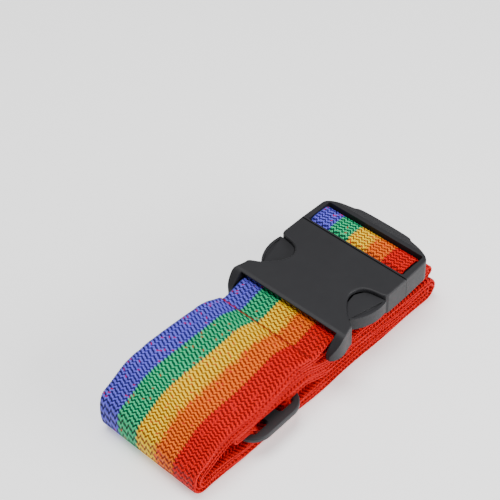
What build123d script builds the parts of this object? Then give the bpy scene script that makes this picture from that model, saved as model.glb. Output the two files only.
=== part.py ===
from build123d import *
from math import asin, atan2, hypot, tan
import os

# A luggage strap of 50 mm webbing, rolled flat for storage with its side release buckle closed on top.
# Millimetres. X runs along the strap from the folded left end towards the plug of the buckle, Y across
# the webbing, Z up. The origin is on the surface that the roll lies on, under the middle of its box.

# ---------------------------------------------------------------- webbing
WEBBING_WIDTH = 50.0
WEBBING_THICKNESS = 1.4
PITCH = 1.5                       # from one layer of webbing to the next
CLEARANCE = 0.1                   # between webbing and plastic
ROLL_HALF_LENGTH = 74.0
FOLD_RADIUS = 1.6                 # innermost layer of the left fold
LOBE_RADIUS = 1.15                # innermost layer of the lower right fold
UPPER_LOBE_RADIUS = 0.9
UPPER_LOBE_END = 73.0
TONGUE_X = -46.0                  # where the pair of layers above the slider folds back
RAMP_LEFT_X = -47.0               # the top layers start down to the left fold
RAMP_END_X = -62.0                # a seam between nodes, on that slope
STEP_HIGH_X = -8.0                # the layers over the slider step down to the right of it
STEP_LOW_X = 4.0
STEP_HIGH_RADIUS = 3.0
STEP_LOW_RADIUS = 10.0
LEVEL_X = 20.0                    # this far from the middle, either way, all layers run level
RAMP_LEFT_RADIUS = 4.0
SEWN_STEP_HIGH_X = -12.0          # the two top layers step down to the left of the sewn end
SEWN_STEP_LOW_X = -20.0
SEWN_STEP_RADIUS = 8.0
LIP_RAMP_FOOT_X = -3.0            # the main run rises from here to the housing's lip
LIP_RAMP_FOOT_RADIUS = 6.0
LIP_RAMP_TOP_RADIUS = 3.0
WRAP_RADIUS = 1.8                 # round the housing's bar
LEG_RADIUS = 1.6                  # where the loop turns up to the plug's bar
CROWN_RADIUS = 2.4                # over the plug's bar
THREAD_HIGH_RADIUS = 3.0          # in the pair through the slider
THREAD_LOW_RADIUS = 1.5
CUT_END_X = -5.0                  # heat-sealed free end, on top
SEWN_END_X = -10.8                # end of the webbing that is sewn under the main run
SEAL_LENGTH = 0.7
SEAM_GAP = 0.02                   # between the nodes that one band of webbing is divided into

# ---------------------------------------------------------------- slider
SLIDER_X = -28.5
SLIDER_LENGTH = 32.0
SLIDER_WIDTH = 61.0
SLIDER_THICKNESS = 2.5
SLIDER_SIDE_BAR = 4.0
SLIDER_CENTRE_BAR = 6.5
SLIDER_SLOT_WIDTH = 53.0
SLIDER_CORNER = 9.0
BAR_MARGIN = 2.35                 # the webbing starts to rise this far from the centre bar
DIP_RUN = 5.2                     # and needs this much length to rise onto a side bar

# ---------------------------------------------------------------- buckle
LIP_X = 9.0                       # front edge of the housing's top plate
LIP_EDGE = 0.9                    # height of that edge
BUCKLE_BOTTOM = 19.3
BUCKLE_THICKNESS = 10.8
BUCKLE_TOP = BUCKLE_BOTTOM + BUCKLE_THICKNESS
PLATE = 1.9
MOUTH_X = LIP_X + 41.5            # open end of the housing, where the plug goes in
MOUTH_HALF_WIDTH = 29.2
MOUTH_WALL = 1.6
MOUTH_WALL_START = LIP_X + 28.6
EAR_TIP_X = LIP_X - 6.5
EAR_INSIDE = 26.3
EAR_OUTSIDE = 30.2
WEBBING_BAR = (11.0, 15.0, BUCKLE_BOTTOM + 2.95, BUCKLE_BOTTOM + 5.5)       # low and high X, then Z
BULKHEAD_X = 17.2                 # wall between the webbing's bar and the room for the plug
BULKHEAD = 1.8
FRAME_SLOT = (MOUTH_X + 0.9, 65.5)            # opening of the plug's frame, along X
FRAME_SLOT_HALF = 26.3
FRAME_APEX_X = 72.7
FRAME_EDGE = 0.8
FRAME_FALL = 2.2                  # the outer bar slopes down by this much
PLUG_BAR = (53.6, 63.4, BUCKLE_BOTTOM + 4.2, BUCKLE_BOTTOM + 8.8)
LATCH_PIVOT = (46.0, 22.0)
LATCH_PIVOT_RADIUS = 2.0
LATCH_FIT = 0.08
ARM_CLEARANCE = 0.3
SHOULDER_X = LIP_X + 27.9

HALF = WEBBING_THICKNESS / 2
L3_INNER = HALF + 3 * PITCH                                   # top of the four bottom layers
LEFT_X = -ROLL_HALF_LENGTH + HALF + 3 * PITCH                 # leg of the innermost left fold
RIGHT_X = ROLL_HALF_LENGTH - HALF - 3 * PITCH
L2_LOW = L3_INNER + 2 * LOBE_RADIUS                           # lowest middle layer, right of the slider
SLIDER_BOTTOM = L3_INNER + 2 * PITCH + HALF + 2 * CLEARANCE
SLIDER_TOP = SLIDER_BOTTOM + SLIDER_THICKNESS
L2_HIGH = SLIDER_TOP + CLEARANCE + HALF                       # lowest middle layer, over the slider
TOP_HIGH = L2_HIGH + 4 * PITCH                                # lowest of the layers above the slider


def parallel(points, distance):
    """Corners of the route that runs beside another one, to the right of its travel."""
    shifted = []
    for start, end in zip(points, points[1:]):
        along = (Vector(*end[:2]) - Vector(*start[:2])).normalized()
        aside = Vector(along.Y, -along.X) * distance
        shifted.append((Vector(*start[:2]) + aside, along))
    corners = [shifted[0][0]]
    for (place, along), (next_place, next_along) in zip(shifted, shifted[1:]):
        turn = along.X * next_along.Y - along.Y * next_along.X
        gap = next_place - place
        far = (gap.X * next_along.Y - gap.Y * next_along.X) / turn
        corners.append(place + along * far)
    last_along = shifted[-1][1]
    corners.append(Vector(*points[-1][:2]) + Vector(last_along.Y, -last_along.X) * distance)
    result = []
    for corner, before, here, after in zip(
        corners[1:-1], points, points[1:], points[2:]
    ):
        first, second = Vector(*here[:2]) - Vector(*before[:2]), Vector(*after[:2]) - Vector(*here[:2])
        left_turn = first.X * second.Y - first.Y * second.X > 0
        result.append((corner.X, corner.Y, here[2] + (distance if left_turn else -distance)))
    return [(corners[0].X, corners[0].Y), *result, (corners[-1].X, corners[-1].Y)]


def strand(points, width=WEBBING_WIDTH, thickness=WEBBING_THICKNESS):
    """Webbing along a route of (x, z) ends and (x, z, radius) corners."""
    with BuildPart() as webbing:
        with BuildLine(Plane.XZ):
            if len(points) == 2:
                path = Line(*points)
            else:
                path = FilletPolyline(*[p[:2] for p in points], radius=[p[2] for p in points[1:-1]])
        with BuildSketch(Plane(origin=path @ 0, x_dir=(0, 1, 0), z_dir=path % 0)):
            Rectangle(width, thickness)
        sweep()
    print(f"{path.length:.0f} mm of webbing, volume off by "
          f"{webbing.part.volume / (path.length * width * thickness) - 1:.4f}")
    return webbing


def save(piece, name):
    piece.part.label = name
    export_step(piece.part, f"parts/{name}.step")


os.makedirs("parts", exist_ok=True)

# ---------------------------------------------------------------- routes of the layers
# Each group of layers follows one innermost route; the others run beside it, one pitch apart.
rise = TOP_HIGH - L3_INNER - FOLD_RADIUS
reach = RAMP_LEFT_X - LEFT_X - FOLD_RADIUS
left_slope = tan(atan2(rise, reach) - asin(FOLD_RADIUS / hypot(rise, reach)))
left_corner_z = TOP_HIGH - left_slope * (RAMP_LEFT_X - LEFT_X)
seam = (RAMP_END_X, TOP_HIGH - left_slope * (RAMP_LEFT_X - RAMP_END_X))
left_fold = [
    seam,
    (LEFT_X, left_corner_z, FOLD_RADIUS * 0.998),
    (LEFT_X, L3_INNER, FOLD_RADIUS * 0.998),
]
over_slider_left = [(RAMP_LEFT_X, TOP_HIGH, RAMP_LEFT_RADIUS)]
right_fold = [
    (RIGHT_X, L3_INNER, LOBE_RADIUS * 0.998),
    (RIGHT_X, L2_LOW, LOBE_RADIUS * 0.998),
    (STEP_LOW_X, L2_LOW, STEP_LOW_RADIUS),
    (STEP_HIGH_X, L2_HIGH, STEP_HIGH_RADIUS),
]


def coil(layer, last):
    """Left fold, bottom run and right fold of one layer, from the top left to the step's high side."""
    before = [(-LEVEL_X, TOP_HIGH), *over_slider_left]
    return parallel([*before, *left_fold[1:], *right_fold, last], layer * PITCH)


# free tail: cut end, left fold, bottom, right fold, over the slider and back into it
tail_coil = coil(3, (TONGUE_X, L2_HIGH))
tail_tongue = [
    (TONGUE_X - 1.5 * PITCH, L2_HIGH + 3 * PITCH, 1.498 * PITCH),
    (TONGUE_X - 1.5 * PITCH, L2_HIGH, 1.498 * PITCH),
    (TONGUE_X, L2_HIGH),
]
tail_top = TOP_HIGH + 3 * PITCH
tail_route = [
    (CUT_END_X - SEAL_LENGTH, tail_top + PITCH),
    (SEWN_STEP_HIGH_X, tail_top + PITCH, SEWN_STEP_RADIUS),
    (SEWN_STEP_LOW_X, tail_top, SEWN_STEP_RADIUS),
    *tail_coil[1:-1],
    *tail_tongue,
]
webbing_tail = strand(tail_route)

# main run: from the sewn end round the housing's bar, then inside the tail
main_coil = coil(2, (TONGUE_X, L2_HIGH))
main_top = TOP_HIGH + 2 * PITCH
bar_left, bar_right, bar_low, bar_high = WEBBING_BAR
wrap_x = bar_right + CLEARANCE + HALF
wrap_low, wrap_high = bar_low - CLEARANCE - HALF, bar_high + CLEARANCE + HALF
sewn_route = [
    (SEWN_END_X, wrap_low),
    (wrap_x, wrap_low, WRAP_RADIUS),
    (wrap_x, wrap_high, WRAP_RADIUS),
    (LIP_X - 0.5, wrap_high),
]
webbing_sewn_end = strand(sewn_route)
main_route = [
    (LIP_X - 0.5, wrap_high),
    (LIP_X - 1.5, wrap_high, LIP_RAMP_TOP_RADIUS),
    (LIP_RAMP_FOOT_X, main_top + PITCH, LIP_RAMP_FOOT_RADIUS),
    (SEWN_STEP_HIGH_X, main_top + PITCH, SEWN_STEP_RADIUS),
    (SEWN_STEP_LOW_X, main_top, SEWN_STEP_RADIUS),
    *main_coil[1:-1],
    (TONGUE_X - PITCH / 2, L2_HIGH + 2 * PITCH, 0.499 * PITCH),
    (TONGUE_X - PITCH / 2, L2_HIGH + PITCH, 0.499 * PITCH),
    (TONGUE_X, L2_HIGH + PITCH),
]
webbing_main = strand(main_route)

# the pair through the slider: over its side bars and under its centre bar
half_slot = SLIDER_CENTRE_BAR / 2 + BAR_MARGIN
dip = (L2_HIGH + PITCH) - (SLIDER_BOTTOM - CLEARANCE - HALF)
upper_thread = [
    (TONGUE_X + SEAM_GAP, L2_HIGH + PITCH),
    (SLIDER_X - half_slot - DIP_RUN, L2_HIGH + PITCH, THREAD_HIGH_RADIUS),
    (SLIDER_X - half_slot, L2_HIGH + PITCH - dip, THREAD_LOW_RADIUS),
    (SLIDER_X + half_slot, L2_HIGH + PITCH - dip, THREAD_LOW_RADIUS),
    (SLIDER_X + half_slot + DIP_RUN, L2_HIGH + PITCH, THREAD_HIGH_RADIUS),
    (STEP_HIGH_X - 1.0 - SEAM_GAP, L2_HIGH + PITCH),
]
webbing_thread_upper = strand(upper_thread)
webbing_thread_lower = strand(parallel(upper_thread, PITCH))

# the doubled run from the slider round the folds, inside the main run
doubled = [seam, *left_fold[1:], *right_fold, (STEP_HIGH_X - 1.0, L2_HIGH)]
webbing_doubled_inner = strand(doubled)
webbing_doubled_outer = strand(parallel(doubled, PITCH))

# the loop that joins the doubled run to the plug's bar
bar_left, bar_right, bar_low, bar_high = PLUG_BAR
leg_left, leg_right = bar_left - CLEARANCE - HALF, bar_right + CLEARANCE + HALF
crown = bar_high + CLEARANCE + HALF
low_pair = L2_LOW + 4 * PITCH
lobe_x = UPPER_LOBE_END - HALF - PITCH
lobe_low = low_pair + PITCH
lobe_high = lobe_low + 2 * UPPER_LOBE_RADIUS
step_route = [
    (LEVEL_X, L2_LOW),
    (STEP_LOW_X, L2_LOW, STEP_LOW_RADIUS),
    (STEP_HIGH_X, L2_HIGH, STEP_HIGH_RADIUS),
    (-LEVEL_X, L2_HIGH),
]
top_left = [(-LEVEL_X, TOP_HIGH), *over_slider_left, seam]
lower_layer = [*parallel(step_route, 4 * PITCH)[1:-1], *top_left[1:]]
upper_layer = [*parallel(step_route, 5 * PITCH)[1:-1], *parallel(top_left, PITCH)[1:]]
plug_loop_route = [
    *reversed(upper_layer),
    (lobe_x, lobe_low, UPPER_LOBE_RADIUS * 0.998),
    (lobe_x, lobe_high, UPPER_LOBE_RADIUS * 0.998),
    (leg_left, lobe_high, LEG_RADIUS),
    (leg_left, crown, CROWN_RADIUS),
    (leg_right, crown, CROWN_RADIUS),
    (leg_right, lobe_high + PITCH, LEG_RADIUS),
    (lobe_x + PITCH, lobe_high + PITCH, UPPER_LOBE_RADIUS + PITCH - 0.002),
    (lobe_x + PITCH, low_pair, UPPER_LOBE_RADIUS + PITCH - 0.002),
    *lower_layer,
]
webbing_plug_loop = strand(plug_loop_route)

# heat-sealed cut end of the tail, a little thinner than the webbing
webbing_cut_end = strand([(CUT_END_X, tail_top + PITCH), (CUT_END_X - SEAL_LENGTH, tail_top + PITCH)])

# ---------------------------------------------------------------- thread that closes the sewn end
STITCH_ROWS_X = (-9.4, -6.6)
STITCH_COUNT = 14
STITCH_SPACING = 3.3
STITCH_RADIUS = 0.35
with BuildPart() as end_stitching:
    for row_x in STITCH_ROWS_X:
        with BuildSketch(Plane.XY.offset(wrap_low - HALF)):
            with Locations((row_x, 0)):
                with GridLocations(0, STITCH_SPACING, 1, STITCH_COUNT):
                    Circle(STITCH_RADIUS)
        extrude(amount=main_top + PITCH - wrap_low + WEBBING_THICKNESS)

# ---------------------------------------------------------------- slider
slot_length = (SLIDER_LENGTH - 2 * SLIDER_SIDE_BAR - SLIDER_CENTRE_BAR) / 2
slot_middle = (SLIDER_CENTRE_BAR + slot_length) / 2
with BuildPart() as slider:
    with BuildSketch(Plane.XY.offset(SLIDER_BOTTOM)):
        with Locations((SLIDER_X, 0)):
            RectangleRounded(SLIDER_LENGTH, SLIDER_WIDTH, SLIDER_CORNER)
        with Locations((SLIDER_X - slot_middle, 0), (SLIDER_X + slot_middle, 0)):
            RectangleRounded(slot_length, SLIDER_SLOT_WIDTH, 1.5, mode=Mode.SUBTRACT)
    extrude(amount=SLIDER_THICKNESS)
    chamfer(slider.faces().filter_by(Axis.Z).edges().filter_by(
        lambda edge: abs(edge.center().Y) > SLIDER_SLOT_WIDTH / 2 + 1.0
    ), 0.5)

# ---------------------------------------------------------------- buckle housing
housing_side = [
    (EAR_TIP_X, EAR_INSIDE),
    (EAR_TIP_X, EAR_OUTSIDE - 2.2),
    (EAR_TIP_X + 1.6, EAR_OUTSIDE - 0.6),
    (LIP_X + 1.0, EAR_OUTSIDE),
    (LIP_X + 5.5, EAR_OUTSIDE - 1.2),
    (LIP_X + 8.7, EAR_OUTSIDE - 4.4),
]
window_edge = [
    (LIP_X + 8.7, EAR_OUTSIDE - 4.4),
    (LIP_X + 13.5, 20.2),
    (LIP_X + 20.5, 16.6),
    (LIP_X + 25.2, 18.6),
    (LIP_X + 27.4, 24.6),
    (MOUTH_WALL_START, MOUTH_HALF_WIDTH - 0.6),
]
plate_ceiling = BUCKLE_TOP - PLATE
plate_floor = BUCKLE_BOTTOM + PLATE
cavity_height = plate_ceiling - plate_floor
mouth_inside = MOUTH_HALF_WIDTH - MOUTH_WALL
bar_left, bar_right, bar_low, bar_high = WEBBING_BAR
with BuildPart() as female_housing:
    with BuildSketch(Plane.XY.offset(BUCKLE_BOTTOM)):
        with BuildLine():
            Line((EAR_TIP_X, 0), housing_side[0])
            Spline(*housing_side[1:], tangents=[(0.4, 1), (0.5, -1)])
            Line(housing_side[0], housing_side[1])
            Spline(*window_edge, tangents=[(0.5, -1), (0.6, 1)])
            Line(window_edge[-1], (MOUTH_WALL_START + 1.2, MOUTH_HALF_WIDTH))
            Line((MOUTH_WALL_START + 1.2, MOUTH_HALF_WIDTH), (MOUTH_X, MOUTH_HALF_WIDTH))
            Line((MOUTH_X, MOUTH_HALF_WIDTH), (MOUTH_X, 0))
            mirror(about=Plane.XZ)
        make_face()
    extrude(amount=BUCKLE_THICKNESS)
    fillet(female_housing.faces().sort_by(Axis.Z)[-1].edges(), 0.8)
    # the room for the plug, open at the mouth and through the windows
    with BuildSketch(Plane.XY.offset(plate_floor)):
        with Locations(((BULKHEAD_X + BULKHEAD + MOUTH_X + 1.0) / 2, 0)):
            Rectangle(MOUTH_X + 1.0 - BULKHEAD_X - BULKHEAD, 2 * mouth_inside)
    extrude(amount=cavity_height, mode=Mode.SUBTRACT)
    # the room for the webbing round the bar, open to the front and below
    with BuildSketch(Plane.XY.offset(BUCKLE_BOTTOM)):
        with Locations(((EAR_TIP_X + BULKHEAD_X) / 2 - 0.5, 0)):
            Rectangle(BULKHEAD_X - EAR_TIP_X + 1.0, 2 * EAR_INSIDE)
    extrude(amount=plate_ceiling - BUCKLE_BOTTOM, mode=Mode.SUBTRACT)
    with BuildSketch(Plane.XY.offset(plate_ceiling)):
        with Locations(((EAR_TIP_X + LIP_X) / 2 - 0.5, 0)):
            Rectangle(LIP_X - EAR_TIP_X + 1.0, 2 * EAR_INSIDE)
    extrude(amount=PLATE, mode=Mode.SUBTRACT)
    # the lip is thinned from below
    with BuildSketch(Plane.XZ):
        with BuildLine():
            Polyline((LIP_X - 1.0, plate_ceiling - 1.0), (LIP_X - 1.0, BUCKLE_TOP - LIP_EDGE),
                     (LIP_X, BUCKLE_TOP - LIP_EDGE), (LIP_X + 2.6, plate_ceiling - 1.0),
                     (LIP_X - 1.0, plate_ceiling - 1.0))
        make_face()
    extrude(amount=EAR_INSIDE, both=True, mode=Mode.SUBTRACT)
    # the ears slope down to their rounded tips
    with BuildSketch(Plane.XZ):
        with BuildLine():
            slope = Spline(
                (LIP_X + 1.5, BUCKLE_TOP + 0.01), (LIP_X - 3.0, BUCKLE_TOP - 3.2), (EAR_TIP_X, BUCKLE_BOTTOM + 2.0),
                tangents=[(-1, -0.15), (-0.15, -1)],
            )
            Polyline(slope @ 1, (EAR_TIP_X - 2.0, BUCKLE_BOTTOM + 2.0), (EAR_TIP_X - 2.0, BUCKLE_TOP + 1.0),
                     (LIP_X + 1.5, BUCKLE_TOP + 1.0), slope @ 0)
        make_face()
    extrude(amount=EAR_OUTSIDE + 2.0, both=True, mode=Mode.SUBTRACT)
    # the bar that the sewn webbing goes round
    with BuildSketch(Plane.XZ):
        with Locations(((bar_left + bar_right) / 2, (bar_low + bar_high) / 2)):
            RectangleRounded(bar_right - bar_left, bar_high - bar_low, 1.0)
    extrude(amount=EAR_INSIDE + 0.5, both=True)

# ---------------------------------------------------------------- plug
frame_corner = (66.6, MOUTH_HALF_WIDTH - 2.4)
slot_start, slot_end = FRAME_SLOT
plug_floor = plate_floor + ARM_CLEARANCE
plug_height = cavity_height - 2 * ARM_CLEARANCE
base_start = LATCH_PIVOT[0] - 3.6
guide_tip = BULKHEAD_X + 4.0
with BuildPart() as plug_frame:
    with BuildSketch(Plane.XY.offset(BUCKLE_BOTTOM)):
        with BuildLine():
            Line((MOUTH_X + 0.15, 0), (MOUTH_X + 0.15, MOUTH_HALF_WIDTH))
            Line((MOUTH_X + 0.15, MOUTH_HALF_WIDTH), (frame_corner[0] - 3.5, MOUTH_HALF_WIDTH - 0.4))
            Spline((frame_corner[0] - 3.5, MOUTH_HALF_WIDTH - 0.4), frame_corner, (70.6, 16.0), (FRAME_APEX_X, 0),
                   tangents=[(1, -0.05), (0, -1)])
            mirror(about=Plane.XZ)
        make_face()
    extrude(amount=BUCKLE_THICKNESS)
    rim = plug_frame.faces().sort_by(Axis.Z)[-1].edges()
    fillet(rim.filter_by(lambda edge: edge.center().X > MOUTH_X + 1.0), FRAME_EDGE)
    with BuildSketch(Plane.XY.offset(BUCKLE_BOTTOM)):
        with Locations(((slot_start + slot_end) / 2, 0)):
            RectangleRounded(slot_end - slot_start, 2 * FRAME_SLOT_HALF, 1.0)
    extrude(amount=BUCKLE_THICKNESS, mode=Mode.SUBTRACT)
    # the outer bar slopes away outwards
    with BuildSketch(Plane.XZ):
        Polygon((slot_end + 2.0, BUCKLE_TOP), (FRAME_APEX_X + 1.0, BUCKLE_TOP - FRAME_FALL),
                (FRAME_APEX_X + 1.0, BUCKLE_TOP + 1.0), (slot_end + 2.0, BUCKLE_TOP + 1.0), align=None)
    extrude(amount=EAR_OUTSIDE, both=True, mode=Mode.SUBTRACT)
    # the inner bar, which the webbing loop goes round
    with BuildSketch(Plane.XZ):
        with Locations(((PLUG_BAR[0] + PLUG_BAR[1]) / 2, (PLUG_BAR[2] + PLUG_BAR[3]) / 2)):
            RectangleRounded(PLUG_BAR[1] - PLUG_BAR[0], PLUG_BAR[3] - PLUG_BAR[2], 1.8)
    extrude(amount=FRAME_SLOT_HALF + 0.4, both=True)
    # the base inside the mouth and the guide between the latch arms
    with BuildSketch(Plane.XY.offset(plug_floor)):
        with BuildLine():
            Polyline((MOUTH_X + 0.5, 0), (MOUTH_X + 0.5, mouth_inside - 0.2), (base_start, mouth_inside - 0.2),
                     (base_start, 6.0), (guide_tip + 2.0, 3.6), (guide_tip, 1.8), (guide_tip, 0))
            mirror(about=Plane.XZ)
        make_face()
        with Locations(LATCH_PIVOT, (LATCH_PIVOT[0], -LATCH_PIVOT[1])):
            Circle(LATCH_PIVOT_RADIUS + LATCH_FIT, mode=Mode.SUBTRACT)
        with Locations((base_start - 0.2, LATCH_PIVOT[1]), (base_start - 0.2, -LATCH_PIVOT[1])):
            Rectangle(2 * (LATCH_PIVOT[0] - base_start) - 1.4, 6.8, mode=Mode.SUBTRACT)
    extrude(amount=plug_height)

# ---------------------------------------------------------------- latch arms
arm_outline = [
    (LATCH_PIVOT[0], LATCH_PIVOT[1] - 1.3),
    (SHOULDER_X + 1.0, LATCH_PIVOT[1] - 1.0),
    (LIP_X + 22.0, 17.0),
    (LIP_X + 15.0, 18.0),
    (LIP_X + 10.3, 22.0),
    (LIP_X + 10.3, 24.6),
]
PAD_DISH = 0.5
pad_inside = [(LIP_X + 11.4, 24.4), (LIP_X + 18.6, 28.0), (SHOULDER_X - 1.0, EAR_OUTSIDE - 1.8)]


def latch_arm(side):
    """One arm with its thumb pad; side is 1 towards +Y and -1 towards -Y."""
    with BuildPart() as arm:
        with BuildSketch(Plane.XY.offset(plug_floor)):
            with BuildLine():
                Polyline(*arm_outline)
                ThreePointArc(arm_outline[-1], (LIP_X + 18.5, 29.2), (SHOULDER_X, EAR_OUTSIDE - 0.8))
                Polyline((SHOULDER_X, EAR_OUTSIDE - 0.8), (SHOULDER_X, LATCH_PIVOT[1] + 2.2),
                         (LATCH_PIVOT[0], LATCH_PIVOT[1] + 1.3), arm_outline[0])
            make_face()
            with Locations(LATCH_PIVOT):
                Circle(LATCH_PIVOT_RADIUS)
        extrude(amount=plug_height)
        # the thumb pad is dished inside a narrow rim
        with BuildSketch(Plane.XY.offset(plug_floor + plug_height - PAD_DISH)):
            with BuildLine():
                ThreePointArc(*pad_inside)
                Line(pad_inside[-1], pad_inside[0])
            make_face()
        extrude(amount=PAD_DISH, mode=Mode.SUBTRACT)
        if side < 0:
            mirror(about=Plane.XZ, mode=Mode.REPLACE)
    return arm


latch_arm_left = latch_arm(1)
latch_arm_right = latch_arm(-1)

pieces = {
    "female_housing": female_housing,
    "plug_frame": plug_frame,
    "latch_arm_left": latch_arm_left,
    "latch_arm_right": latch_arm_right,
    "slider": slider,
    "webbing_main": webbing_main,
    "webbing_sewn_end": webbing_sewn_end,
    "webbing_tail": webbing_tail,
    "webbing_cut_end": webbing_cut_end,
    "end_stitching": end_stitching,
    "webbing_thread_upper": webbing_thread_upper,
    "webbing_thread_lower": webbing_thread_lower,
    "webbing_doubled_inner": webbing_doubled_inner,
    "webbing_doubled_outer": webbing_doubled_outer,
    "webbing_plug_loop": webbing_plug_loop,
}
for name, piece in pieces.items():
    save(piece, name)
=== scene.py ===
from math import asin, atan2, ceil, cos, hypot, pi, radians, sin, tan

import bpy
import numpy as np
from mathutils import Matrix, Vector


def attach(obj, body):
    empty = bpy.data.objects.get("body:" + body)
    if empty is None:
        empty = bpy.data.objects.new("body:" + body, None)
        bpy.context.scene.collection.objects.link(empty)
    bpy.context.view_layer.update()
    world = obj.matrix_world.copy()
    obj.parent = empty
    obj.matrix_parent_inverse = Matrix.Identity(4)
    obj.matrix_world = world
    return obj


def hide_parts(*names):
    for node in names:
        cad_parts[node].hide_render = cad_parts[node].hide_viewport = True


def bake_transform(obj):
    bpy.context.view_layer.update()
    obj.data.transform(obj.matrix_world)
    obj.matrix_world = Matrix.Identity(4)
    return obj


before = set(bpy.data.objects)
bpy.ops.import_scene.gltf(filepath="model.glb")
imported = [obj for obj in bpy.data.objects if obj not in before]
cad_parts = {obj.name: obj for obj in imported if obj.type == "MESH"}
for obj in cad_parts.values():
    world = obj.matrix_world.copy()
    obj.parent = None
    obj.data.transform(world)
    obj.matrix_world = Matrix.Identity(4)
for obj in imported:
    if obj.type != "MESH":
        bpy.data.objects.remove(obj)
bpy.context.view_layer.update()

MM = 0.001

# ---------------------------------------------------------------- camera
CAMERA_AZIMUTH = radians(-48.96)
CAMERA_ELEVATION = radians(45.77)
CAMERA_DISTANCE = 0.5338
CAMERA_LENS = 91.94
CAMERA_SENSOR = 36.0
CAMERA_SHIFT = (-0.1428, 0.046)
AIM = Vector((0.030, 0.0, 0.0301))


def place_camera():
    back = Vector((
        sin(CAMERA_AZIMUTH) * cos(CAMERA_ELEVATION),
        -cos(CAMERA_AZIMUTH) * cos(CAMERA_ELEVATION),
        sin(CAMERA_ELEVATION),
    ))
    data = bpy.data.cameras.new("camera")
    camera = bpy.data.objects.new("camera", data)
    camera.location = AIM + back * CAMERA_DISTANCE
    camera.rotation_euler = (-back).to_track_quat("-Z", "Y").to_euler()
    data.lens = CAMERA_LENS
    data.sensor_width = CAMERA_SENSOR
    data.shift_x, data.shift_y = CAMERA_SHIFT
    data.clip_start = 0.01
    bpy.context.scene.collection.objects.link(camera)
    bpy.context.scene.camera = camera


# ---------------------------------------------------------------- sizes shared with the CAD, in mm
WEBBING_WIDTH = 50.0
WEBBING_THICKNESS = 1.4
PITCH = 1.5
CLEARANCE = 0.1
ROLL_HALF_LENGTH = 74.0
FOLD_RADIUS = 1.6
LOBE_RADIUS = 1.15
UPPER_LOBE_RADIUS = 0.9
UPPER_LOBE_END = 73.0
TONGUE_X = -46.0
RAMP_LEFT_X = -47.0
RAMP_END_X = -62.0
STEP_HIGH_X = -8.0
STEP_LOW_X = 4.0
STEP_HIGH_RADIUS = 3.0
STEP_LOW_RADIUS = 10.0
LEVEL_X = 20.0                    # this far from the middle, either way, all layers run level
SEWN_STEP_HIGH_X = -12.0          # the two top layers step down to the left of the sewn end
SEWN_STEP_LOW_X = -20.0
SEWN_STEP_RADIUS = 8.0
LIP_RAMP_FOOT_X = -3.0            # the main run rises from here to the housing's lip
LIP_RAMP_FOOT_RADIUS = 6.0
LIP_RAMP_TOP_RADIUS = 3.0
WRAP_RADIUS = 1.8                 # round the housing's bar
LEG_RADIUS = 1.6                  # where the loop turns up to the plug's bar
CROWN_RADIUS = 2.4                # over the plug's bar
THREAD_HIGH_RADIUS = 3.0          # in the pair through the slider
THREAD_LOW_RADIUS = 1.5
CUT_END_X = -5.0
SEWN_END_X = -10.8
SEAL_LENGTH = 0.7
SEAL_STEP = 0.12
SEAL_ROUGHNESS = (0.04, 0.05)
SLIDER_X = -28.5
SLIDER_THICKNESS = 2.5
SLIDER_CENTRE_BAR = 6.5
BAR_MARGIN = 2.35
DIP_RUN = 5.2
LIP_X = 9.0
BUCKLE_BOTTOM = 19.3
WEBBING_BAR = (11.0, 15.0, BUCKLE_BOTTOM + 2.95, BUCKLE_BOTTOM + 5.5)
PLUG_BAR = (53.6, 63.4, BUCKLE_BOTTOM + 4.2, BUCKLE_BOTTOM + 8.8)

HALF = WEBBING_THICKNESS / 2
L3_INNER = HALF + 3 * PITCH
LEFT_X = -ROLL_HALF_LENGTH + HALF + 3 * PITCH
RIGHT_X = ROLL_HALF_LENGTH - HALF - 3 * PITCH
L2_LOW = L3_INNER + 2 * LOBE_RADIUS
SLIDER_BOTTOM = L3_INNER + 2 * PITCH + HALF + 2 * CLEARANCE
SLIDER_TOP = SLIDER_BOTTOM + SLIDER_THICKNESS
L2_HIGH = SLIDER_TOP + CLEARANCE + HALF
TOP_HIGH = L2_HIGH + 4 * PITCH

# ---------------------------------------------------------------- the weave, in mm
RIB_PITCH = 1.8
RIB_DEPTH = 0.27
WAVE_WIDTH = 3.2
WAVE_SHARE = 0.5
YARN_PITCH = 0.8
ROW_STEP = 0.45
COLUMN_STEP = 0.8
EDGE_COLUMNS = (0.12, 0.4)
BACK_COLUMNS = 13
EDGE_ROUNDING = 0.55
LOOP_REACH = 0.45                 # the weft's turns stand out from the edges by this much
LOOP_SINK = 0.28
TURN_STEP = 0.6
STITCH_ROWS_X = (-9.4, -6.6)
STITCH_REACH = 22.0
STITCH_PITCH = 3.3
STITCH_LENGTH = 2.7

# ---------------------------------------------------------------- how the roll lies
# Each amount grows along X over the run named after it.
YAW = radians(2.3)                # the rolled end turns a little
YAW_RUN = (-2.0, -45.0)
YAW_CENTRE_X = -23.5
TILT = radians(7.6)               # and leans, its blue edge higher
TILT_RUN = (0.0, -40.0)
RAMP_LEFT_RADIUS = 12.0           # the top layers turn down to the left fold in a wider arc than the CAD's
ARCH = 4.1                        # the layers on top arch over the slider
ARCH_RUN = (0.0, -18.0)
ARCH_FALL = -1.9
ARCH_FALL_RUN = (-20.0, -46.0)
SHOULDER_RISE = 3.2
SHOULDER_RUN = (-46.0, -60.0)
RAMP_RUN = (-46.0, -52.0)         # left of the slider all layers above the bottom ones are loose
SWELL = 1.5                       # the layers below spread inside the fold
SWELL_IN_RUN = (-44.0, -54.0)
SWELL_OUT_RUN = (-61.0, -69.0)
SPREAD = 0.035                    # the webbing lies a little wider there
SPREAD_RUN = (-5.0, -45.0)
END_TUCK = 2.1                    # the left end is pulled in, and more so on the red side
END_TUCK_TURN = 0.04
END_TUCK_RUN = (-50.0, -74.0)
RIGHT_FAN = 2.0                   # the bottom layers fan out a little at the right end
RIGHT_FAN_RUN = (12.0, 74.0)
RIGHT_FAN_TOP = 12.75
RIGHT_BULGE = 1.2
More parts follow.
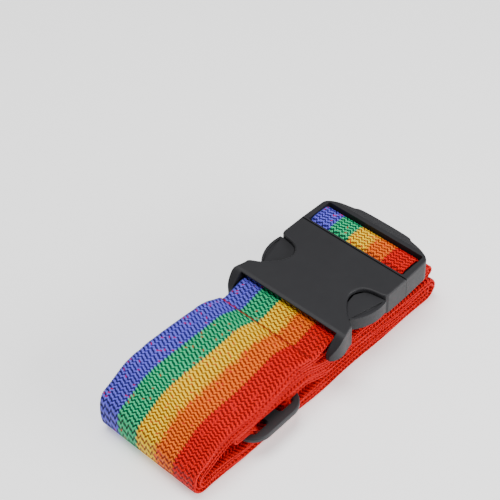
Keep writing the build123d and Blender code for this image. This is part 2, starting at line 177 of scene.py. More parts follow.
RIGHT_BULGE_RUN = (64.0, 74.0)
SIDE_SHIFT = 0.4
SIDE_SHIFT_RUN = (0.0, -20.0)
SLIP = 0.42                       # how far the layers have slipped sideways over each other
SLIP_END = 14.0
SLIP_WAVES = (97.0, 41.0)


def parallel(points, distance):
    """Corners of the route that runs beside another one, to the right of its travel."""
    shifted = []
    for start, end in zip(points, points[1:]):
        along = (Vector(end[:2]) - Vector(start[:2])).normalized()
        shifted.append((Vector(start[:2]) + Vector((along.y, -along.x)) * distance, along))
    corners = [shifted[0][0]]
    for (place, along), (next_place, next_along) in zip(shifted, shifted[1:]):
        turn = along.x * next_along.y - along.y * next_along.x
        gap = next_place - place
        far = (gap.x * next_along.y - gap.y * next_along.x) / turn
        corners.append(place + along * far)
    last_along = shifted[-1][1]
    corners.append(Vector(points[-1][:2]) + Vector((last_along.y, -last_along.x)) * distance)
    result = []
    for corner, before, here, after in zip(corners[1:-1], points, points[1:], points[2:]):
        first = Vector(here[:2]) - Vector(before[:2])
        second = Vector(after[:2]) - Vector(here[:2])
        left_turn = first.x * second.y - first.y * second.x > 0
        result.append((corner.x, corner.y, here[2] + (distance if left_turn else -distance)))
    return [tuple(corners[0]), *result, tuple(corners[-1])]


# ---------------------------------------------------------------- routes, as in the CAD
rise = TOP_HIGH - L3_INNER - FOLD_RADIUS
reach = RAMP_LEFT_X - LEFT_X - FOLD_RADIUS
left_slope = tan(atan2(rise, reach) - asin(FOLD_RADIUS / hypot(rise, reach)))
left_corner_z = TOP_HIGH - left_slope * (RAMP_LEFT_X - LEFT_X)
seam = (RAMP_END_X, TOP_HIGH - left_slope * (RAMP_LEFT_X - RAMP_END_X))
left_fold = [
    seam,
    (LEFT_X, left_corner_z, FOLD_RADIUS * 0.998),
    (LEFT_X, L3_INNER, FOLD_RADIUS * 0.998),
]
over_slider_left = [(RAMP_LEFT_X, TOP_HIGH, RAMP_LEFT_RADIUS)]
right_fold = [
    (RIGHT_X, L3_INNER, LOBE_RADIUS * 0.998),
    (RIGHT_X, L2_LOW, LOBE_RADIUS * 0.998),
    (STEP_LOW_X, L2_LOW, STEP_LOW_RADIUS),
    (STEP_HIGH_X, L2_HIGH, STEP_HIGH_RADIUS),
]


def coil(layer):
    """Left fold, bottom run and right fold of one layer, from the top left to the step's high side."""
    before = [(-LEVEL_X, TOP_HIGH), *over_slider_left]
    return parallel([*before, *left_fold[1:], *right_fold, (TONGUE_X, L2_HIGH)], layer * PITCH)


tail_top = TOP_HIGH + 3 * PITCH
tail_route = [
    (CUT_END_X - SEAL_LENGTH, tail_top + PITCH),
    (SEWN_STEP_HIGH_X, tail_top + PITCH, SEWN_STEP_RADIUS),
    (SEWN_STEP_LOW_X, tail_top, SEWN_STEP_RADIUS),
    *coil(3)[1:-1],
    (TONGUE_X - 1.5 * PITCH, L2_HIGH + 3 * PITCH, 1.498 * PITCH),
    (TONGUE_X - 1.5 * PITCH, L2_HIGH, 1.498 * PITCH),
    (TONGUE_X, L2_HIGH),
]
main_top = TOP_HIGH + 2 * PITCH
wrap_x = WEBBING_BAR[1] + CLEARANCE + HALF
wrap_low = WEBBING_BAR[2] - CLEARANCE - HALF
wrap_high = WEBBING_BAR[3] + CLEARANCE + HALF
sewn_route = [
    (SEWN_END_X, wrap_low),
    (wrap_x, wrap_low, WRAP_RADIUS),
    (wrap_x, wrap_high, WRAP_RADIUS),
    (LIP_X - 0.5, wrap_high),
]
main_route = [
    (LIP_X - 0.5, wrap_high),
    (LIP_X - 1.5, wrap_high, LIP_RAMP_TOP_RADIUS),
    (LIP_RAMP_FOOT_X, main_top + PITCH, LIP_RAMP_FOOT_RADIUS),
    (SEWN_STEP_HIGH_X, main_top + PITCH, SEWN_STEP_RADIUS),
    (SEWN_STEP_LOW_X, main_top, SEWN_STEP_RADIUS),
    *coil(2)[1:-1],
    (TONGUE_X - PITCH / 2, L2_HIGH + 2 * PITCH, 0.499 * PITCH),
    (TONGUE_X - PITCH / 2, L2_HIGH + PITCH, 0.499 * PITCH),
    (TONGUE_X, L2_HIGH + PITCH),
]
half_slot = SLIDER_CENTRE_BAR / 2 + BAR_MARGIN
dip = (L2_HIGH + PITCH) - (SLIDER_BOTTOM - CLEARANCE - HALF)
upper_thread = [
    (TONGUE_X, L2_HIGH + PITCH),
    (SLIDER_X - half_slot - DIP_RUN, L2_HIGH + PITCH, THREAD_HIGH_RADIUS),
    (SLIDER_X - half_slot, L2_HIGH + PITCH - dip, THREAD_LOW_RADIUS),
    (SLIDER_X + half_slot, L2_HIGH + PITCH - dip, THREAD_LOW_RADIUS),
    (SLIDER_X + half_slot + DIP_RUN, L2_HIGH + PITCH, THREAD_HIGH_RADIUS),
    (STEP_HIGH_X - 1.0, L2_HIGH + PITCH),
]
lower_thread = parallel(upper_thread, PITCH)
doubled_inner = [seam, *left_fold[1:], *right_fold, (STEP_HIGH_X - 1.0, L2_HIGH)]
doubled_outer = parallel(doubled_inner, PITCH)

leg_left = PLUG_BAR[0] - CLEARANCE - HALF
leg_right = PLUG_BAR[1] + CLEARANCE + HALF
crown = PLUG_BAR[3] + CLEARANCE + HALF
low_pair = L2_LOW + 4 * PITCH
lobe_x = UPPER_LOBE_END - HALF - PITCH
lobe_low = low_pair + PITCH
lobe_high = lobe_low + 2 * UPPER_LOBE_RADIUS
step_route = [
    (LEVEL_X, L2_LOW),
    (STEP_LOW_X, L2_LOW, STEP_LOW_RADIUS),
    (STEP_HIGH_X, L2_HIGH, STEP_HIGH_RADIUS),
    (-LEVEL_X, L2_HIGH),
]
top_left = [(-LEVEL_X, TOP_HIGH), *over_slider_left, seam]
lower_layer = [*parallel(step_route, 4 * PITCH)[1:-1], *top_left[1:]]
upper_layer = [*parallel(step_route, 5 * PITCH)[1:-1], *parallel(top_left, PITCH)[1:]]
plug_loop_route = [
    *reversed(upper_layer),
    (lobe_x, lobe_low, UPPER_LOBE_RADIUS * 0.998),
    (lobe_x, lobe_high, UPPER_LOBE_RADIUS * 0.998),
    (leg_left, lobe_high, LEG_RADIUS),
    (leg_left, crown, CROWN_RADIUS),
    (leg_right, crown, CROWN_RADIUS),
    (leg_right, lobe_high + PITCH, LEG_RADIUS),
    (lobe_x + PITCH, lobe_high + PITCH, UPPER_LOBE_RADIUS + PITCH - 0.002),
    (lobe_x + PITCH, low_pair, UPPER_LOBE_RADIUS + PITCH - 0.002),
    *lower_layer,
]


# ---------------------------------------------------------------- shape helpers
def smooth_step(value, low, high):
    share = np.clip((value - low) / (high - low), 0.0, 1.0)
    return share * share * (3 - 2 * share)


def lie(points):
    """The way the loose roll lies: turned a little, leaning to one side and arched over the slider."""
    x, y, z = points[:, 0], points[:, 1], points[:, 2]
    ramp = smooth_step(x, *RAMP_RUN)
    lowest = TOP_HIGH - left_slope * np.maximum(RAMP_LEFT_X - x, 0.0)
    firm = L2_HIGH + (lowest - L2_HIGH) * ramp
    top = tail_top + (lowest + 5.0 - tail_top) * ramp
    loose = np.clip((z - firm) / (top - firm), 0.0, 1.0)
    under = np.clip(z / L3_INNER, 0.0, 1.0) * (1 - smooth_step(z, L3_INNER + 0.8, L3_INNER + 3.0))
    swell = SWELL * under * smooth_step(x, *SWELL_IN_RUN) * (1 - smooth_step(x, *SWELL_OUT_RUN))
    y = y * (1 + SPREAD * smooth_step(x, *SPREAD_RUN))
    yaw = YAW * smooth_step(x, *YAW_RUN)
    run = np.minimum(x - YAW_CENTRE_X, 0.0)
    lean = TILT * loose * smooth_step(x, *TILT_RUN)
    arch = loose * (ARCH * smooth_step(x, *ARCH_RUN) + ARCH_FALL * smooth_step(x, *ARCH_FALL_RUN)
                    + SHOULDER_RISE * smooth_step(x, *SHOULDER_RUN))
    tuck = (END_TUCK - END_TUCK_TURN * y) * smooth_step(x, *END_TUCK_RUN)
    bulge = RIGHT_BULGE * smooth_step(x, *RIGHT_BULGE_RUN)
    fan = RIGHT_FAN * smooth_step(x, *RIGHT_FAN_RUN) * (z < RIGHT_FAN_TOP)
    aside = SIDE_SHIFT * smooth_step(x, *SIDE_SHIFT_RUN) - fan
    moved = np.empty_like(points)
    moved[:, 0] = x + y * np.sin(yaw) + tuck + bulge
    moved[:, 1] = y * np.cos(yaw) - run * np.tan(yaw) + aside
    moved[:, 2] = z + y * np.sin(lean) + arch + swell
    return moved


def route_samples(points, step):
    """Points, left-hand normals and distances along a route whose corners are rounded."""
    places = [np.array(p[:2], float) for p in points]
    runs = []
    start = places[0]
    for index in range(1, len(points) - 1):
        before, here, after = places[index - 1], places[index], places[index + 1]
        first = (here - before) / np.linalg.norm(here - before)
        second = (after - here) / np.linalg.norm(after - here)
        turn = atan2(first[0] * second[1] - first[1] * second[0], float(first @ second))
        radius = points[index][2]
        cut = radius * tan(abs(turn) / 2)
        entry, leave = here - first * cut, here + second * cut
        side = 1.0 if turn > 0 else -1.0
        centre = entry + np.array([-first[1], first[0]]) * side * radius
        runs.append(("line", start, entry, None, None))
        runs.append(("arc", entry, centre, turn, radius))
        start = leave
    runs.append(("line", start, places[-1], None, None))
    out, normals, along = [], [], []
    distance = 0.0
    for kind, a, b, turn, radius in runs:
        if kind == "line":
            length = float(np.linalg.norm(b - a))
            if length < 1e-6:
                continue
            direction = (b - a) / length
            count = max(1, ceil(length / step))
            for i in range(count):
                t = i / count
                out.append(a + (b - a) * t)
                normals.append([-direction[1], direction[0]])
                along.append(distance + length * t)
            last = (b, [-direction[1], direction[0]])
        else:
            length = abs(turn) * radius
            count = max(2, ceil(length / min(step, 0.45 * radius + 0.1)))
            spoke = a - b
            for i in range(count):
                angle = turn * i / count
                c, s = cos(angle), sin(angle)
                turned = np.array([spoke[0] * c - spoke[1] * s, spoke[0] * s + spoke[1] * c])
                out.append(b + turned)
                inward = -turned / radius if turn > 0 else turned / radius
                normals.append(inward)
                along.append(distance + length * i / count)
        distance += length
    out.append(last[0])
    normals.append(last[1])
    along.append(distance)
    return np.array(out), np.array(normals, float), np.array(along)


def slip(along, length, phase):
    """How far a layer has slipped sideways, and not at all at its ends or without a phase."""
    if phase is None:
        return np.zeros(len(along))
    ends = smooth_step(along, 0.0, SLIP_END) * (1 - smooth_step(along, length - SLIP_END, length))
    long_wave, short_wave = (2 * pi * along / wave for wave in SLIP_WAVES)
    return SLIP * ends * (np.sin(long_wave + phase) + 0.5 * np.sin(short_wave + 2.1 * phase))


def triangle(value):
    return 2 * np.abs(2 * (value - np.floor(value + 0.5))) - 1


def groove_depth(across, along):
    """0 on top of a rib of the weave, 1 in the groove between two."""
    phase = along / RIB_PITCH + WAVE_SHARE * 0.5 * triangle(across / WAVE_WIDTH)
    return 0.5 - 0.5 * np.cos(2 * pi * phase)


def mesh_object(name, verts, faces, materials):
    mesh = bpy.data.meshes.new(name)
    mesh.from_pydata(verts, [], faces)
    mesh.update()
    obj = bpy.data.objects.new(name, mesh)
    bpy.context.scene.collection.objects.link(obj)
    for material in materials:
        mesh.materials.append(material)
    mesh.polygons.foreach_set("use_smooth", [True] * len(mesh.polygons))
    return obj


def ribbon(name, route, step=ROW_STEP, lead=0.0, phase=None):
    """Closed webbing along a route, its ribs and grooves in the mesh. lead is the length woven before it."""
    centre, normal, along = route_samples(route, step)
    aside = slip(along, along[-1], phase)
    along = along + lead
    near, far = np.array(EDGE_COLUMNS), WEBBING_WIDTH - np.array(EDGE_COLUMNS[::-1])
    outer = np.arange(COLUMN_STEP, WEBBING_WIDTH - COLUMN_STEP + 0.01, COLUMN_STEP)
    inner = np.linspace(1.0, WEBBING_WIDTH - 1.0, BACK_COLUMNS)
    front = np.concatenate([[0.0], near, outer, far, [WEBBING_WIDTH]])
    back = np.concatenate([near, inner, far])
    across = np.concatenate([front, back[::-1]])
    side = np.concatenate([np.ones(len(front)), -np.ones(len(back))])
    from_edge = np.minimum(across, WEBBING_WIDTH - across)
    rounded = np.where(
        from_edge < EDGE_ROUNDING,
        np.sqrt(np.clip(1 - (1 - from_edge / EDGE_ROUNDING) ** 2, 0, 1)), 1.0,
    )
    flush = smooth_step(from_edge, 0.3, 1.2)
    rows, columns = len(centre), len(across)
    groove = groove_depth(across[None, :], along[:, None]) * RIB_DEPTH * flush[None, :]
    height = side[None, :] * (HALF * rounded[None, :] - groove)
    verts = np.empty((rows, columns, 3))
    verts[:, :, 0] = centre[:, None, 0] + normal[:, None, 0] * height
    verts[:, :, 2] = centre[:, None, 1] + normal[:, None, 1] * height
    verts[:, :, 1] = WEBBING_WIDTH / 2 - across[None, :] + aside[:, None]
    flat = lie(verts.reshape(-1, 3)) * MM
    faces = []
    for r in range(rows - 1):
        a, b = r * columns, (r + 1) * columns
        for c in range(columns):
            d = (c + 1) % columns
            faces.append((a + c, a + d, b + d, b + c))
    faces.append(tuple(range(columns - 1, -1, -1)))
    faces.append(tuple(range((rows - 1) * columns, rows * columns)))
    obj = mesh_object(name, flat.tolist(), faces, [])
    uv = obj.data.uv_layers.new(name="weave")
    loops = np.empty(len(obj.data.loops), dtype=np.int64)
    obj.data.loops.foreach_get("vertex_index", loops)
    weave = np.stack([across[loops % columns], along[loops // columns]], -1) / WEBBING_WIDTH
    uv.data.foreach_set("uv", weave.ravel())
    return obj, along[-1] - lead


# ---------------------------------------------------------------- materials
class Nodes:
    """Short ways to add and join shader or geometry nodes."""

    def __init__(self, tree):
        self.tree = tree
        tree.nodes.clear()

    def add(self, kind, inputs=None, **settings):
        node = self.tree.nodes.new(kind)
        for key, value in settings.items():
            setattr(node, key, value)
        for key, value in (inputs or {}).items():
            socket = node.inputs[key]
            if isinstance(value, bpy.types.NodeSocket):
                self.tree.links.new(value, socket)
            else:
                socket.default_value = value
        return node

    def math(self, operation, a, b=0.0, c=0.0, clamp=False):
        return self.add("ShaderNodeMath", {0: a, 1: b, 2: c}, operation=operation, use_clamp=clamp).outputs[0]

    def mix(self, factor, a, b, blend="MIX"):
        return self.add("ShaderNodeMix", {0: factor, 6: a, 7: b}, data_type="RGBA", blend_type=blend).outputs[2]

    def ramp(self, factor, stops):
        node = self.add("ShaderNodeValToRGB", {0: factor})
        while len(node.color_ramp.elements) < len(stops):
            node.color_ramp.elements.new(1.0)
        for element, (place, colour) in zip(node.color_ramp.elements, stops):
            element.position = place
            element.color = (*colour, 1.0)
        return node.outputs[0]


BLUE = (0.095, 0.080, 0.72)
GREEN = (0.0, 0.50, 0.18)
YELLOW = (1.0, 0.64, 0.0)
ORANGE = (0.92, 0.15, 0.0)
RED = (0.72, 0.0, 0.0)
RED_YARN = (0.72, 0.012, 0.014, 1.0)


def new_material(name):
    material = bpy.data.materials.new(name)
    material.use_nodes = True
    return material, Nodes(material.node_tree)


def striped_webbing():
    """Polypropylene yarns in five stripes, woven in a waved rib with a red weft that shows in the grooves, with
    painted shade in the grooves and painted highlights on the crests.
    """
    material, n = new_material("striped_webbing")
    uv = n.add("ShaderNodeUVMap", uv_map="weave").outputs[0]
    split = n.add("ShaderNodeSeparateXYZ", {0: uv})
    across = n.math("MULTIPLY", split.outputs[0], WEBBING_WIDTH)
    along = n.math("MULTIPLY", split.outputs[1], WEBBING_WIDTH)
    wave = n.math("PINGPONG", n.math("DIVIDE", across, WAVE_WIDTH), 0.5)
    wave = n.math("MULTIPLY_ADD", wave, -4.0, 1.0)
    phase = n.math("MULTIPLY_ADD", wave, WAVE_SHARE * 0.5, n.math("DIVIDE", along, RIB_PITCH))
    # single yarns, side by side, each crossing over half a rib after its neighbour
    yarn = n.math("DIVIDE", across, YARN_PITCH)
    column = n.math("FLOOR", yarn)
    odd = n.math("MODULO", column, 2.0)
    yarn_side = n.math("ABSOLUTE", n.math("SUBTRACT", n.math("FRACT", yarn), 0.5))
    yarn_crest = n.math("SUBTRACT", 1.0, n.math("MULTIPLY", yarn_side, 2.0))
    float_phase = n.math("MULTIPLY_ADD", odd, 0.2, phase)
    crest_wave = n.math("MULTIPLY_ADD", n.math("COSINE", n.math("MULTIPLY", float_phase, 2 * pi)), 0.5, 0.5)
    rib = n.math("MULTIPLY_ADD", n.math("COSINE", n.math("MULTIPLY", phase, 2 * pi)), 0.5, 0.5)
    cell = n.add("ShaderNodeCombineXYZ", {0: column, 1: n.math("FLOOR", float_phase)})
    cell_value = n.add("ShaderNodeTexWhiteNoise", {0: cell.outputs[0]}, noise_dimensions="3D").outputs[0]
    fine_place = n.add("ShaderNodeCombineXYZ", {
        0: n.math("MULTIPLY", across, 7.0), 1: n.math("MULTIPLY", along, 2.2),
    }).outputs[0]
    fibre = n.add("ShaderNodeTexNoise", {"Vector": fine_place, "Scale": 1.0, "Detail": 3.0}).outputs[0]
    # the stripes, scalloped where one colour meets the next
    scallop = n.math("MULTIPLY_ADD", rib, 0.7, -0.35)
    shifted = n.math("ADD", across, scallop)
    stripe_place = n.math("DIVIDE", shifted, WEBBING_WIDTH)
    blended_place = n.math("MULTIPLY_ADD", n.math("SUBTRACT", cell_value, 0.5), 0.05, stripe_place)
    stripes = n.ramp(stripe_place, [
        (0.0, BLUE), (0.198, BLUE), (0.202, GREEN), (0.398, GREEN), (0.402, YELLOW), (0.778, YELLOW),
        (0.786, RED), (1.0, RED),
    ])
    orange_share = n.ramp(blended_place, [
        (0.0, (0, 0, 0)), (0.565, (0, 0, 0)), (0.625, (1, 1, 1)), (0.80, (1, 1, 1)), (0.81, (0, 0, 0)),
    ])
    orange_share = n.math("MULTIPLY", orange_share, n.math("LESS_THAN", stripe_place, 0.782))
    stripes = n.mix(orange_share, stripes, (*ORANGE, 1.0))
    warm = n.ramp(stripe_place, [(0.40, (0, 0, 0)), (0.402, (1, 1, 1))])
    # painted shade: the stripes are multiplied darker in the grooves, on top of the shade the ribs in the mesh
    # get from the lamps
    groove_shade = n.mix(warm, (0.05, 0.05, 0.08, 1.0), (0.20, 0.06, 0.03, 1.0))
    groove = n.mix(1.0, stripes, groove_shade, "MULTIPLY")
    lift = n.math("MULTIPLY_ADD", yarn_crest, 0.78, 0.38)
    relief = n.math("MULTIPLY", crest_wave, lift, clamp=True)
    raised = n.add("ShaderNodeMapRange", {"Value": relief, "From Min": 0.08, "From Max": 0.58},
                   interpolation_type="SMOOTHSTEP").outputs[0]
    body = n.mix(raised, groove, stripes)
    # painted highlight: the tops of the ribs are mixed towards white on the blue and green stripes, and back to
    # the full stripe colour on the warm ones
    pale = n.mix(n.math("MULTIPLY_ADD", warm, -0.22, 0.22), stripes, (1.0, 1.0, 1.0, 1.0))
    painted_highlight = n.math("MULTIPLY", n.math("POWER", relief, 4.0), n.math("MULTIPLY_ADD", cell_value, 0.5, 0.3))
    body = n.mix(n.math("MULTIPLY", painted_highlight, 0.8), body, pale)
    # the weft shows as small red dots in some of the grooves
    dot = n.math("MULTIPLY", n.math("GREATER_THAN", cell_value, 0.94), n.math("LESS_THAN", relief, 0.12))
    body = n.mix(n.math("MULTIPLY", dot, 0.7), body, RED_YARN)
    tone = n.math("MULTIPLY_ADD", fibre, 0.4, 0.8)
    body = n.mix(1.0, body, n.add("ShaderNodeCombineColor", {0: tone, 1: tone, 2: tone}).outputs[0], "MULTIPLY")
    height = n.math("MULTIPLY_ADD", fibre, 0.25, relief)
    bump = n.add("ShaderNodeBump", {"Strength": 1.0, "Distance": 0.0003, "Height": height})
    shader = n.add("ShaderNodeBsdfPrincipled", {
        "Base Color": body, "Roughness": 0.55, "Specular IOR Level": 0.1, "Normal": bump.outputs[0],
    })
    n.add("ShaderNodeOutputMaterial", {0: shader.outputs[0]})
    return material


def yarn_material(name, colour):
    """The weft's turns along an edge of the webbing, or sewing thread."""
    material, n = new_material(name)
    place = n.add("ShaderNodeTexCoord").outputs["Object"]
    noise = n.add("ShaderNodeTexNoise", {"Vector": place, "Scale": 900.0, "Detail": 3.0}).outputs[0]
    twist = n.add("ShaderNodeTexWave", {"Vector": place, "Scale": 420.0, "Distortion": 3.0},
                  bands_direction="DIAGONAL").outputs[1]
    dark = tuple(0.35 * c for c in colour) + (1.0,)
    pale = tuple(min(1.0, 1.15 * c + 0.01) for c in colour) + (1.0,)
    tint = n.mix(n.math("MULTIPLY_ADD", noise, 0.7, n.math("MULTIPLY", twist, 0.3)), dark, pale)
    bump = n.add("ShaderNodeBump", {"Strength": 0.6, "Distance": 0.0001, "Height": twist})
    shader = n.add("ShaderNodeBsdfPrincipled", {
        "Base Color": tint, "Roughness": 0.6, "Specular IOR Level": 0.1, "Normal": bump.outputs[0],
    })
    n.add("ShaderNodeOutputMaterial", {0: shader.outputs[0]})
    return material


def melted_edge():
    """The end of the webbing where a hot knife has cut and sealed it, its melted red darkened further as
    painted shade of the step at the cut end.
    """
    material, n = new_material("melted_edge")
    place = n.add("ShaderNodeTexCoord").outputs["Object"]
    noise = n.add("ShaderNodeTexNoise", {"Vector": place, "Scale": 700.0, "Detail": 4.0}).outputs[0]
    # the ramp's near-black reds are partly the melted colour and partly painted shade of the step at the cut
    # end
    tint = n.ramp(noise, [(0.3, (0.09, 0.002, 0.002)), (0.7, (0.26, 0.004, 0.004))])
    bump = n.add("ShaderNodeBump", {"Strength": 0.6, "Distance": 0.0002, "Height": noise})
    shader = n.add("ShaderNodeBsdfPrincipled", {
        "Base Color": tint, "Roughness": 0.6, "Specular IOR Level": 0.1, "Normal": bump.outputs[0],
    })
    n.add("ShaderNodeOutputMaterial", {0: shader.outputs[0]})
    return material


def moulded_plastic(name, base, roughness):
    """Black acetal with the fine spark texture of its mould and a few faint scuffs."""
    material, n = new_material(name)
    place = n.add("ShaderNodeTexCoord").outputs["Object"]
    grain = n.add("ShaderNodeTexNoise", {"Vector": place, "Scale": 2600.0, "Detail": 2.0}).outputs[0]
    cloud = n.add("ShaderNodeTexNoise", {"Vector": place, "Scale": 60.0, "Detail": 3.0}).outputs[0]
    scuff = n.add("ShaderNodeTexNoise", {
        "Vector": place, "Scale": 240.0, "Detail": 5.0, "Roughness": 0.7,
    }).outputs[0]
    dark = tuple(0.82 * c for c in base) + (1.0,)
    pale = tuple(1.2 * c for c in base) + (1.0,)
    tint = n.mix(n.math("MULTIPLY_ADD", grain, 0.5, n.math("MULTIPLY", cloud, 0.5)), dark, pale)
    rough = n.math("MULTIPLY_ADD", scuff, 0.22, roughness - 0.11)
    rounding = n.add("ShaderNodeBevel", {"Radius": 0.00035}, samples=4)
    bump = n.add("ShaderNodeBump", {
        "Strength": 0.28, "Distance": 0.00006, "Height": grain, "Normal": rounding.outputs[0],
    })
    shader = n.add("ShaderNodeBsdfPrincipled", {
        "Base Color": tint, "Roughness": rough, "Specular IOR Level": 0.2, "Normal": bump.outputs[0],
    })
    n.add("ShaderNodeOutputMaterial", {0: shader.outputs[0]})
    return material


# ---------------------------------------------------------------- what repeats
def tree_input(tree, name, kind, value):
    socket = tree.interface.new_socket(name=name, in_out="INPUT", socket_type=kind)
    if value is not None:
        socket.default_value = value
    return socket.identifier


def repeat_tree(name, pivot):
    """A rounded turn of yarn at every pitch of a line, as round an edge or in a row of stitches."""
    tree = bpy.data.node_groups.new(name, "GeometryNodeTree")
    tree.interface.new_socket(name="Geometry", in_out="INPUT", socket_type="NodeSocketGeometry")
    tree.interface.new_socket(name="Geometry", in_out="OUTPUT", socket_type="NodeSocketGeometry")
    names = {
        "pitch": tree_input(tree, "Pitch", "NodeSocketFloat", RIB_PITCH * MM / 2),
        "length": tree_input(tree, "Bead length", "NodeSocketFloat", 1.0 * MM),
        "reach": tree_input(tree, "Bead reach", "NodeSocketFloat", 0.7 * MM),
        "height": tree_input(tree, "Bead height", "NodeSocketFloat", 0.98 * MM),
        "seed": tree_input(tree, "Seed", "NodeSocketInt", 3),
        "material": tree_input(tree, "Material", "NodeSocketMaterial", None),
    }
    n = Nodes(tree)
    source = n.add("NodeGroupInput").outputs
    curve = n.add("GeometryNodeMeshToCurve", {"Mesh": source["Geometry"]})
    even = n.add("GeometryNodeResampleCurve", {"Curve": curve.outputs[0], "Length": source["Pitch"]},
                 mode="LENGTH")
    bead = n.add("GeometryNodeMeshUVSphere", {"Segments": 8, "Rings": 5, "Radius": 0.5})
    size = n.add("ShaderNodeCombineXYZ", {
        0: source["Bead length"], 1: source["Bead reach"], 2: source["Bead height"],
    })
    tangent = n.add("GeometryNodeInputTangent")
    turned = n.add("FunctionNodeAlignRotationToVector", {"Vector": tangent.outputs[0]},
                   axis="X", pivot_axis=pivot)
    uneven = n.add("FunctionNodeRandomValue", {"Seed": source["Seed"]}, data_type="FLOAT_VECTOR")
    uneven.inputs[0].default_value = (0.9, 0.8, 0.92)
    uneven.inputs[1].default_value = (1.08, 1.15, 1.04)
    scale = n.add("ShaderNodeVectorMath", {0: size.outputs[0], 1: uneven.outputs[0]}, operation="MULTIPLY")
    placed = n.add("GeometryNodeInstanceOnPoints", {
        "Points": even.outputs[0], "Instance": bead.outputs[0], "Rotation": turned.outputs[0],
        "Scale": scale.outputs[0],
    })
    real = n.add("GeometryNodeRealizeInstances", {0: placed.outputs[0]})
    shaded = n.add("GeometryNodeSetShadeSmooth", {0: real.outputs[0]})
    painted = n.add("GeometryNodeSetMaterial", {"Geometry": shaded.outputs[0], "Material": source["Material"]})
    n.add("NodeGroupOutput", {0: painted.outputs[0]})
    return tree, names


def apply_tree(name, tree, names, verts, edges, values):
    """Runs a tree on a line of points and gives a plain mesh object."""
    mesh = bpy.data.meshes.new(name + "_line")
    mesh.from_pydata(verts, edges, [])
    line = bpy.data.objects.new(name + "_line", mesh)
    bpy.context.scene.collection.objects.link(line)
    modifier = line.modifiers.new("repeat", "NODES")
    modifier.node_group = tree
    for key, value in values.items():
        modifier[names[key]] = value
    bpy.context.view_layer.update()
    evaluated = line.evaluated_get(bpy.context.evaluated_depsgraph_get())
    plain = bpy.data.meshes.new_from_object(evaluated)
    line.modifiers.remove(modifier)
    bpy.data.objects.remove(line)
    obj = bpy.data.objects.new(name, plain)
    bpy.context.scene.collection.objects.link(obj)
    return obj


def edge_turns(name, route, side, material, phase):
    """The weft's turns along one edge of a piece of webbing. side is 1 on the blue edge, -1 on the red."""
    centre, _, along = route_samples(route, TURN_STEP)
    y = side * (WEBBING_WIDTH / 2 + LOOP_REACH - LOOP_SINK) + slip(along, along[-1], phase)
    points = np.stack([centre[:, 0], y, centre[:, 1]], -1)
    points = lie(points) * MM
    edges = [(i, i + 1) for i in range(len(points) - 1)]
    return apply_tree(name, turns_tree, turns_names, points.tolist(), edges, {"material": material})


def join(objects):
    """The first object with the meshes of the others added."""
    first = objects[0]
    with bpy.context.temp_override(active_object=first, object=first, selected_editable_objects=objects,
                                   selected_objects=objects):
        bpy.ops.object.join()
    return first


def webbing_piece(name, route, nodes, lead=0.0, phase=None):
    piece, length = ribbon(name, route, lead=lead, phase=phase)
    piece.data.materials.append(webbing_material)
    blue = edge_turns(name + "_blue_edge", route, 1, blue_edge_material, phase)
    red = edge_turns(name + "_red_edge", route, -1, red_edge_material, phase)
    piece = join([piece, blue, red])
    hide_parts(*nodes)
    return piece


def sealed_end():
    """The melted rim across the free end."""
    z = tail_top + PITCH
    piece, _ = ribbon("sealed_end", [(CUT_END_X, z), (CUT_END_X - SEAL_LENGTH, z)], step=SEAL_STEP)
    piece.data.materials.append(sealed_material)
    rng = np.random.default_rng(4)
    places = np.empty(len(piece.data.vertices) * 3)
    piece.data.vertices.foreach_get("co", places)
    places = places.reshape(-1, 3)
    places[:, 0] += rng.normal(0.0, SEAL_ROUGHNESS[0], len(places)) * MM
    places[:, 2] += rng.normal(0.0, SEAL_ROUGHNESS[1], len(places)) * MM
    piece.data.vertices.foreach_set("co", places.ravel())
    piece.data.update()
    return piece


def end_stitches():
    """Two rows of lockstitch through the main run and the sewn end, seen from above and from below."""
    rows = []
    for row, x in enumerate(STITCH_ROWS_X):
        for face, z in enumerate((main_top + PITCH + HALF, wrap_low - HALF)):
            y = np.arange(-STITCH_REACH, STITCH_REACH + 0.1)
            points = lie(np.stack([np.full(len(y), x), y, np.full(len(y), z)], -1)) * MM
            rows.append(apply_tree(
                f"stitch_row_{row}_{face}", stitch_tree, stitch_names, points.tolist(),
                [(i, i + 1) for i in range(len(points) - 1)],
                {"material": thread_material, "pitch": STITCH_PITCH * MM, "length": STITCH_LENGTH * MM,
                 "reach": 0.5 * MM, "height": 0.45 * MM},
            ))
    rows[0].name = "end_stitches"
    return join(rows)


# ---------------------------------------------------------------- build
place_camera()

webbing_material = striped_webbing()
blue_edge_material = yarn_material("blue_edge_yarn", (0.055, 0.07, 0.42))
red_edge_material = yarn_material("red_edge_yarn", (0.68, 0.0, 0.0))
thread_material = yarn_material("sewing_thread", (0.55, 0.03, 0.02))
sealed_material = melted_edge()
buckle_material = moulded_plastic("buckle_acetal", (0.018, 0.018, 0.020), 0.50)
slider_material = moulded_plastic("slider_acetal", (0.022, 0.022, 0.024), 0.46)

turns_tree, turns_names = repeat_tree("edge_turns", "Y")
stitch_tree, stitch_names = repeat_tree("stitches", "Z")

tail = webbing_piece("tail_band", tail_route, ["webbing_tail"], phase=0.4)
main = webbing_piece("main_band", main_route, ["webbing_main"], lead=0.9, phase=2.6)
sewn = webbing_piece("sewn_end_band", sewn_route, ["webbing_sewn_end"])
inner = webbing_piece("doubled_inner_band", doubled_inner, ["webbing_doubled_inner"], phase=1.2)
outer = webbing_piece("doubled_outer_band", doubled_outer, ["webbing_doubled_outer"], phase=4.5)
for piece in (tail, main, sewn, inner, outer):
    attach(piece, "strap")
loop = webbing_piece("plug_loop_band", plug_loop_route, ["webbing_plug_loop"], phase=3.3)
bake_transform(loop)

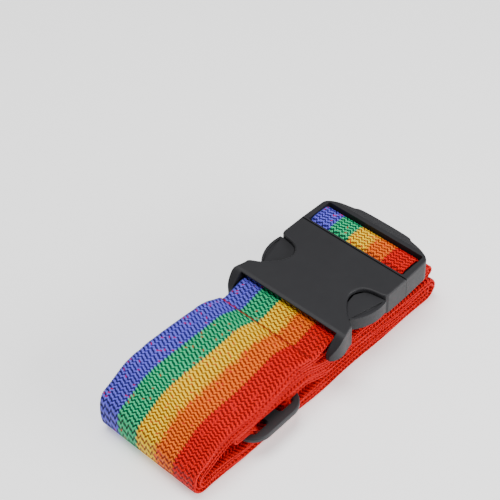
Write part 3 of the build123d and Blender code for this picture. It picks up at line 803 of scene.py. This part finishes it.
# the pair through the slider, each in two halves that meet under its middle bar and follow it
for name, route in {"upper": upper_thread, "lower": lower_thread}.items():
    middle = (SLIDER_X, route[2][1])
    left = webbing_piece(f"{name}_thread_left", [*route[:3], middle], [f"webbing_thread_{name}"])
    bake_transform(left)
    right = webbing_piece(f"{name}_thread_right", [middle, *route[3:]], [f"webbing_thread_{name}"])
    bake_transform(right)

seal = sealed_end()
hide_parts("webbing_cut_end")
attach(seal, "strap")
stitches = end_stitches()
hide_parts("end_stitching")
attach(stitches, "strap")

for node, material in {
    "female_housing": buckle_material, "plug_frame": buckle_material, "latch_arm_left": buckle_material,
    "latch_arm_right": buckle_material, "slider": slider_material,
}.items():
    for material_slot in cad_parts[node].material_slots:
        material_slot.material = material


# ---------------------------------------------------------------- floor and lights
FLOOR_SIZE = 3.0
FLOOR_Z = -0.0002
FLOOR_TONE = 0.95
FLOOR_GLOW = 0.5
SKY_STRENGTH = 0.34
OVERHEAD_POWER = 9.6
SIDE_POWER = 10.5


def matte(name, colour, roughness, glow):
    material, n = new_material(name)
    shader = n.add("ShaderNodeBsdfPrincipled", {
        "Base Color": colour, "Roughness": roughness, "Emission Color": colour, "Emission Strength": glow,
    })
    n.add("ShaderNodeOutputMaterial", {0: shader.outputs[0]})
    return material


def floor():
    corners = ((-1, -1), (1, -1), (1, 1), (-1, 1))
    verts = [(x * FLOOR_SIZE, y * FLOOR_SIZE, FLOOR_Z) for x, y in corners]
    white = matte("floor_white", (FLOOR_TONE, FLOOR_TONE, FLOOR_TONE, 1.0), 0.9, FLOOR_GLOW)
    obj = mesh_object("floor", verts, [(0, 1, 2, 3)], [white])


def area_light(name, place, aim, size, power):
    data = bpy.data.lights.new(name, "AREA")
    data.shape = "RECTANGLE"
    data.size, data.size_y = size
    data.energy = power
    light = bpy.data.objects.new(name, data)
    light.location = place
    light.rotation_euler = (Vector(aim) - Vector(place)).to_track_quat("-Z", "Y").to_euler()
    bpy.context.scene.collection.objects.link(light)


floor()
world = bpy.data.worlds.new("studio")
world.use_nodes = True
world.node_tree.nodes["Background"].inputs[0].default_value = (1.0, 1.0, 1.0, 1.0)
world.node_tree.nodes["Background"].inputs[1].default_value = SKY_STRENGTH
bpy.context.scene.world = world
area_light("overhead", (-0.05, 0.1, 0.9), (0, 0, 0.02), (0.5, 0.5), OVERHEAD_POWER)
area_light("side", (0.25, -0.75, 0.30), (0.02, 0, 0.01), (0.8, 0.35), SIDE_POWER)
